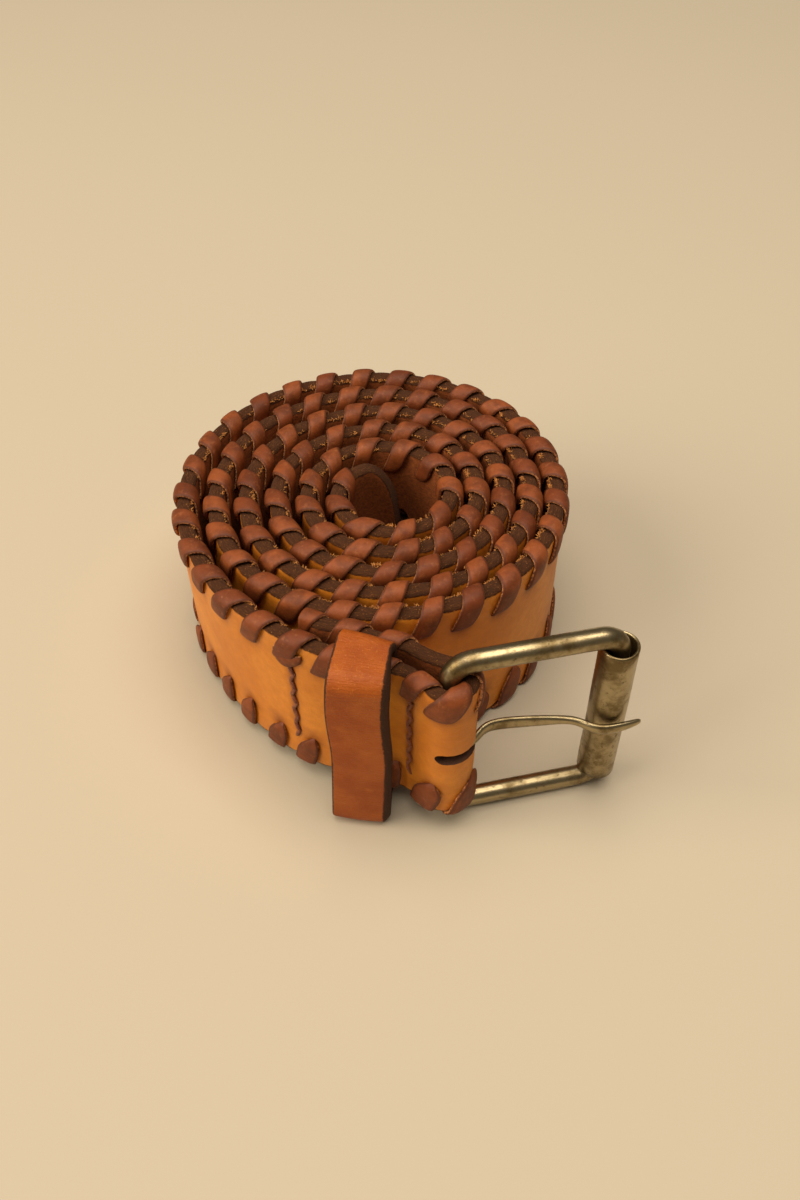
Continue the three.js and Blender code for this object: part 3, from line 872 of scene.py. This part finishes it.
# The cut end of a lace that comes out under the wrap beside the outer seam.
def tuckedEnd():
    half = roll["thickness"] / 2
    way = [
        (72.2, half + 0.1, 34.6, 0.8), (73.4, half + 0.55, 33.7, 1.0), (75.0, half + 0.8, 32.6, 1.1),
        (76.7, half + 0.75, 32.4, 1.1), (78.0, half + 0.55, 33.2, 1.05), (78.8, half + 0.2, 34.2, 0.85),
    ]
    rows = [{
        "s": s, "out": out, "up": up, "travelled": i * 1.8, "wide": share * 3.0, "thick": 0.9,
    } for i, (s, out, up, share) in enumerate(way)]

    def endSection(row):
        corners = ((-1, -0.7), (1, -0.7), (1, 0.3), (0.5, 1), (-0.5, 1), (-1, 0.3))
        return [(
            row["s"], row["out"] + rise * row["thick"] / 2, row["up"] + across * row["wide"] / 2,
        ) for across, rise in corners], corners

    template = bandMesh(rows, endSection)
    made = repeated(template, [0], lambda flat, _: rollUp(flat))
    bpy.data.meshes.remove(template)
    return made


def waxedThread():
    material, tree, shader = newMaterial("waxedThread", Roughness=0.5)
    lace = readAttribute(tree, "lace")["Vector"]
    place = put(tree, "TexCoord").outputs["Object"]
    ply = put(tree, "TexWave", {
        "Vector": stretched(tree, lace, (1, 0.45, 0.45)), "Scale": 1.6, "Distortion": 0.6,
    }, bands_direction="DIAGONAL").outputs["Fac"]
    tone = mixColour(tree, ply, colour(122, 58, 30), colour(184, 110, 68))
    tone = mixColour(tree, between(tree, noise(tree, place, 900), 0.4, 0.7), tone, colour(120, 58, 36))
    tree.links.new(tone, shader.inputs["Base Color"])
    addBump(tree, shader, [(ply, 0.15)])
    return material


def addSeams():
    stitches = joined("seamStitches", [
        seamStitches(seam, turn) for seam, turn in zip(strap["seams"], (1, -1))
    ], [waxedThread()])
    soften(stitches, 1)
    end = joined("tuckedLaceEnd", [tuckedEnd()], [laceLeather()])
    soften(end, 2)
    for piece in (stitches, end):
        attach(piece, "belt")


# Keeper

keeper = {
    "distance": 16.4,  # its middle, from the heel bar
    "width": 10.5,
    "height": 45.5,
    "front": -10.2,  # back from the heel bar's line
    "rear": 3.0,
    "wall": 2.4,
    "rearWall": 1.4,
    "corner": 3.5,
    "twist": 1.1,
    "skew": 1.8,
    "edgeRound": 0.55,
    "flare": 1.5,  # its outer edge splays out to the right
    "stations": 150,
    "wave": [  # of height, of width
        (0, -0.03), (0.38, 0.03), (0.52, 0.05), (0.66, -0.01), (0.8, -0.035), (1, 0.02),
    ],
}


# The loop seen from its side, as rows of (back, up), from the middle of the rear wall upwards.
def keeperOutline():
    bend, high = keeper["corner"], keeper["height"]
    middles = [
        (keeper["rear"] - bend, high - bend, 0), (keeper["front"] + bend, high - bend, 90),
        (keeper["front"] + bend, bend, 180), (keeper["rear"] - bend, bend, 270),
    ]
    loop = [(keeper["rear"], high / 2)]
    for back, up, start in middles:
        for angle in np.radians(np.linspace(start, start + 90, 12)):
            loop.append((back + bend * math.cos(angle), up + bend * math.sin(angle)))
    loop.append((keeper["rear"], high / 2))
    return np.array(loop)


def keeperWave(up):
    shares, shifts = zip(*keeper["wave"])
    fine = np.linspace(0, 1, 60)
    soft = np.interp(fine, shares, shifts)
    soft = np.convolve(np.r_[[soft[0]] * 4, soft, [soft[-1]] * 4], np.ones(9) / 9, "valid")
    return np.interp(up / keeper["height"], fine, soft)


def addKeeper():
    loop = keeperOutline()
    lengths = np.r_[0, np.cumsum(np.linalg.norm(np.diff(loop, axis=0), axis=1))]
    around, wall, width = lengths[-1], keeper["wall"], keeper["width"]
    bm = bmesh.new()
    bmesh.ops.create_cube(bm, size=1)
    bmesh.ops.scale(bm, vec=(around, wall, width), verts=bm.verts)
    bmesh.ops.translate(bm, vec=(around / 2, wall / 2, 0), verts=bm.verts)
    corners = [edge for edge in bm.edges if abs(edge.verts[0].co.x - edge.verts[1].co.x) > 1]
    bmesh.ops.bevel(
        bm, geom=corners, offset=keeper["edgeRound"], offset_type="OFFSET", affect="EDGES",
        segments=3, profile=0.5, material=-1,
    )
    for row in (-4.5, -2.5, 0, 2.5, 4.5):
        whole = bm.verts[:] + bm.edges[:] + bm.faces[:]
        bmesh.ops.bisect_plane(bm, geom=whole, plane_co=(0, 0, row), plane_no=(0, 0, 1), dist=1e-4)
    bmesh.ops.delete(bm, geom=[face for face in bm.faces if abs(face.normal.x) > 0.9], context="FACES")
    lengthwise = [edge for edge in bm.edges if abs(edge.verts[0].co.x - edge.verts[1].co.x) > 1]
    bmesh.ops.subdivide_edges(bm, edges=lengthwise, cuts=keeper["stations"], use_grid_fill=True)
    mesh = bpy.data.meshes.new("keeper")
    bm.to_mesh(mesh)
    bm.free()
    t, deep, across = points(mesh).T
    back, up = np.interp(t, lengths, loop[:, 0]), np.interp(t, lengths, loop[:, 1])
    step = 0.4
    ahead = np.column_stack([np.interp((t + step) % around, lengths, loop[:, i]) for i in (0, 1)])
    behind = np.column_stack([np.interp((t - step) % around, lengths, loop[:, i]) for i in (0, 1)])
    heading = (ahead - behind) / np.linalg.norm(ahead - behind, axis=1)[:, None]
    thin = 1 - (1 - keeper["rearWall"] / wall) * smoothStep((back - keeper["rear"] + 1.2) / 1.2)
    crown = 0.25 * np.cos(across / width * math.pi) * (1 - deep / wall)
    back = back - heading[:, 1] * (deep * thin - crown)
    up = np.clip(up + heading[:, 0] * (deep * thin - crown), 0, keeper["height"])
    depth = np.clip(-back / -keeper["front"], 0, 1)
    along = -keeper["distance"] + across + (keeper["skew"] + keeperWave(up) * width) * depth
    along = along + keeper["flare"] * smoothStep(across / (width / 2)) * deep / wall * depth
    back = back + across / (width / 2) * keeper["twist"] * depth
    angle = math.radians(roll["doubledAngle"])
    x = heelAxis[0] + along * math.cos(angle) - back * math.sin(angle)
    y = heelAxis[1] + along * math.sin(angle) + back * math.cos(angle)
    keepVector(mesh, "flat", np.column_stack([t, deep, across]))
    keepNumber(mesh, "edge", width / 2 - np.abs(across))
    keepNumber(mesh, "side", 1 - 2 * deep / wall)
    setPoints(mesh, np.column_stack([x, y, up]) * mm)
    bm = bmesh.new()
    bm.from_mesh(mesh)
    bmesh.ops.remove_doubles(bm, verts=bm.verts, dist=1e-6)
    bmesh.ops.recalc_face_normals(bm, faces=bm.faces)
    bm.to_mesh(mesh)
    bm.free()
    piece = dressPiece("keeperLoop", mesh, [waxedLeather()])
    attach(piece, "belt")
    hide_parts("keeper")


def waxedLeather():
    material, tree, shader = newMaterial("waxedLeather", Specular_IOR_Level=0.32)
    flat = readAttribute(tree, "flat")["Vector"]
    edge = readAttribute(tree, "edge")["Fac"]
    side = readAttribute(tree, "side")["Fac"]
    clouds = between(tree, noise(tree, flat, 0.13, 4, 0.6), 0.38, 0.62)
    tone = mixColour(tree, clouds, colour(164, 80, 10), colour(150, 68, 6))
    worn = between(tree, noise(tree, stretched(tree, flat, (1, 1, 0.5)), 0.35, 5, 0.7), 0.55, 0.75)
    tone = mixColour(tree, sums(tree, "MULTIPLY", worn, 0.45), tone, colour(190, 108, 30))
    height = put(tree, "SeparateXYZ", {"Vector": put(tree, "TexCoord").outputs["Object"]}).outputs["Z"]
    # Painted highlight with nicks: light flecks on the outer face along the top bend, 30 to 41 mm up.
    bend = sums(tree, "MULTIPLY", between(tree, height, 0.030, 0.041), between(tree, side, 0.6, 0.9))
    nicksAndHighlight = between(tree, noise(tree, stretched(tree, flat, (1, 1, 2.6)), 1.7, 5, 0.75), 0.56, 0.66)
    nicksAndHighlight = sums(tree, "MULTIPLY", sums(tree, "MULTIPLY", nicksAndHighlight, bend), 0.5)
    tone = mixColour(tree, nicksAndHighlight, tone, colour(216, 146, 72))
    inner = between(tree, side, -0.6, 0.0)
    tone = mixColour(tree, inner, colour(96, 48, 20), tone)
    ragged = sums(tree, "SUBTRACT", edge, sums(tree, "MULTIPLY", noise(tree, flat, 1.3, 4), 0.55))
    dyed = between(tree, ragged, 0.0, 0.3, 1, 0)
    strands = between(tree, noise(tree, stretched(tree, flat, (2.4, 5, 1)), 1.3, 5, 0.7), 0.58, 0.74)
    edgeColour = mixColour(tree, strands, colour(58, 28, 6), colour(146, 94, 40))
    tree.links.new(mixColour(tree, dyed, tone, edgeColour), shader.inputs["Base Color"])
    rough = mixColour(tree, clouds, (0.48, 0.48, 0.48, 1), (0.56, 0.56, 0.56, 1))
    rough = mixColour(tree, dyed, rough, (0.75, 0.75, 0.75, 1))
    tree.links.new(rough, shader.inputs["Roughness"])
    creases = noise(tree, stretched(tree, flat, (2.2, 1, 0.5)), 1.1, 5, 0.65)
    addBump(tree, shader, [(noise(tree, flat, 4, 3), 0.05), (creases, 0.22)])
    return material


# Buckle

buckle = {
    "height": 47.2,
    "wire": 4.2,
    "corner": 4.0,
    "rollerSize": 7.6,
    "rollerWall": 0.7,
    "rollerLength": 37.6,
    "curl": 3.2,  # middle of the prong's hook, from the heel bar's axis
    "curlWidth": 2.6,
    "curlThickness": 1.6,
    "prongWidth": 3.2,
    "prongThickness": 1.7,
    "prongRest": 0.3,
    "prongOverhang": 5.5,
}
toFar = farAxis[:2] - heelAxis[:2]
barSpacing = float(np.linalg.norm(toFar))
toFar = toFar / barSpacing
toBack = np.array([-toFar[1], toFar[0]])


# Places from the heel bar towards the far bar, back, and up from the frame's middle, in metres.
def onBuckle(places):
    x, y, z = np.asarray(places, dtype=float).T
    flat = heelAxis[:2] + toFar * x[:, None] + toBack * y[:, None]
    return np.column_stack([flat, z + heelAxis[2]]) * mm


def addFrame():
    half = buckle["height"] / 2 - buckle["wire"] / 2
    bend = buckle["corner"]
    middles = [
        (bend, half - bend, 180), (barSpacing - bend, half - bend, 90),
        (barSpacing - bend, bend - half, 0), (bend, bend - half, -90),
    ]
    way = []
    for x, z, start in middles:
        for angle in np.radians(np.linspace(start, start - 90, 10)):
            way.append((x + bend * math.cos(angle), 0, z + bend * math.sin(angle)))
    wire = bpy.data.curves.new("frameWire", "CURVE")
    wire.dimensions = "3D"
    wire.bevel_depth = buckle["wire"] / 2 * mm
    wire.bevel_resolution = 6
    spline = wire.splines.new("POLY")
    spline.points.add(len(way) - 1)
    for point, place in zip(spline.points, onBuckle(way)):
        point.co = (*place, 1)
    spline.use_cyclic_u = True
    helper = bpy.data.objects.new("frameWire", wire)
    bpy.context.scene.collection.objects.link(helper)
    mesh = bpy.data.meshes.new_from_object(helper.evaluated_get(bpy.context.evaluated_depsgraph_get()))
    bpy.data.objects.remove(helper)
    piece = dressPiece("buckleFrame", mesh, [oldBrass()])
    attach(piece, "buckle")
    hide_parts("buckle_frame")


def addRoller():
    outer, half = buckle["rollerSize"] / 2, buckle["rollerLength"] / 2
    inner = outer - buckle["rollerWall"]
    bm = bmesh.new()
    lip = 0.25
    profile = [
        (inner, -half + lip), (inner + lip, -half), (outer - lip, -half), (outer, -half + lip),
        *[(outer, up) for up in np.linspace(-half + 2, half - 2, 16)],
        (outer, half - lip), (outer - lip, half), (inner + lip, half), (inner, half - lip),
    ]
    verts = [bm.verts.new((radius, 0, up)) for radius, up in profile]
    edges = [bm.edges.new(pair) for pair in zip(verts, verts[1:] + verts[:1])]
    bmesh.ops.spin(
        bm, geom=verts + edges, cent=(0, 0, 0), axis=(0, 0, 1), angle=math.tau, steps=48, use_merge=True,
    )
    bmesh.ops.remove_doubles(bm, verts=bm.verts, dist=1e-4)
    bmesh.ops.recalc_face_normals(bm, faces=bm.faces)
    piece = meshPiece("rollerTube", bm, [oldBrass()], 50)
    x, y, z = points(piece.data).T
    angle = np.arctan2(y, x)
    dents = 0.10 * np.sin(3 * angle + 0.21 * z) + 0.07 * np.sin(2 * angle - 0.33 * z + 1)
    worn = 1 - (dents + 0.1) * 0.35 / outer
    setPoints(piece.data, onBuckle(np.column_stack([x * worn + barSpacing, y * worn, z])))
    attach(piece, "roller")
    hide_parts("roller")


def prongSection(row):
    corners = [(math.cos(angle), math.sin(angle)) for angle in np.radians(np.arange(22.5, 360, 45))]
    x, y = row["at"]
    nx, ny = row["normal"]
    return [(
        x + nx * rise * row["thick"] / 2, y + ny * rise * row["thick"] / 2, across * row["wide"] / 2,
    ) for across, rise in corners], corners


def addProng():
    way = []
    turns = [(turn, 1) for turn in range(75, 286, 15)] + [(302, 1.06), (319, 1.2), (336, 1.45), (350, 1.76)]
    for turn, away in turns:
        angle = math.radians(turn)
        way.append((away * buckle["curl"] * math.cos(angle), away * buckle["curl"] * math.sin(angle),
                    buckle["curlWidth"], buckle["curlThickness"]))
    resting = buckle["rollerSize"] / 2 + buckle["prongThickness"] / 2 + buckle["prongRest"]
    tongue = [  # share of the way to the far bar, share of its rest before the bar, width, thickness
        (0.122, 0.01, 0.89, 1), (0.160, 0.14, 0.95, 1), (0.208, 0.20, 1.03, 1), (0.288, 0.19, 1.09, 1),
        (0.410, 0.10, 1.06, 1), (0.549, -0.03, 0.94, 1), (0.688, -0.16, 0.66, 1), (0.767, -0.34, 0.63, 1),
        (0.823, -0.67, 0.72, 1), (0.875, -0.89, 0.84, 1), (0.930, -1, 0.88, 1), (1, -1.01, 0.84, 1),
        (1.087, -0.98, 0.69, 0.85),
    ]
    for share, rest, wide, thick in tongue:
        way.append((buckle["curl"] + (barSpacing - buckle["curl"]) * share, rest * resting,
                    wide * buckle["prongWidth"], thick * buckle["prongThickness"]))
    way.append((barSpacing + buckle["prongOverhang"], -resting * 0.87,
                0.47 * buckle["prongWidth"], 0.7 * buckle["prongThickness"]))
    rows = []
    for i, (x, y, wide, thick) in enumerate(way):
        before, after = way[max(i - 1, 0)], way[min(i + 1, len(way) - 1)]
        step = np.array([after[0] - before[0], after[1] - before[1]])
        step /= np.linalg.norm(step)
        rows.append({
            "at": (x, y), "normal": (-step[1], step[0]), "wide": wide, "thick": thick, "travelled": x,
        })
    mesh = bandMesh(rows, prongSection)
    setPoints(mesh, onBuckle(points(mesh)))
    piece = dressPiece("prongTongue", mesh, [oldBrass()], 60)
    soften(piece, 2)
    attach(piece, "prong")
    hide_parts("prong")


def oldBrass():
    made = bpy.data.materials.get("oldBrass")
    if made:
        return made
    material, tree, shader = newMaterial("oldBrass", Metallic=1.0)
    place = put(tree, "TexCoord").outputs["Object"]
    patches = between(tree, noise(tree, place, 160, 5, 0.65), 0.42, 0.68)
    specks = between(tree, noise(tree, place, 900, 4, 0.7), 0.56, 0.72)
    tone = mixColour(tree, patches, colour(168, 152, 118), colour(112, 94, 62))
    tone = mixColour(tree, sums(tree, "MULTIPLY", specks, 0.6), tone, colour(70, 50, 26))
    tree.links.new(tone, shader.inputs["Base Color"])
    rough = mixColour(tree, patches, (0.28, 0.28, 0.28, 1), (0.42, 0.42, 0.42, 1))
    tree.links.new(mixColour(tree, specks, rough, (0.6, 0.6, 0.6, 1)), shader.inputs["Roughness"])
    scratches = noise(tree, stretched(tree, place, (1, 1, 0.15)), 2400, 2)
    addBump(tree, shader, [(noise(tree, place, 500, 3), 0.04), (scratches, 0.015)])
    return material


addCamera()
addStudio()
print("stage ready")
addStrap()
print("strap rolled")
addLacing()
print("lacing wrapped")
addFibres()
print("fibres added")
addSeams()
print("seams sewn")
addKeeper()
print("keeper set")
addFrame()
addRoller()
addProng()
print("buckle set")
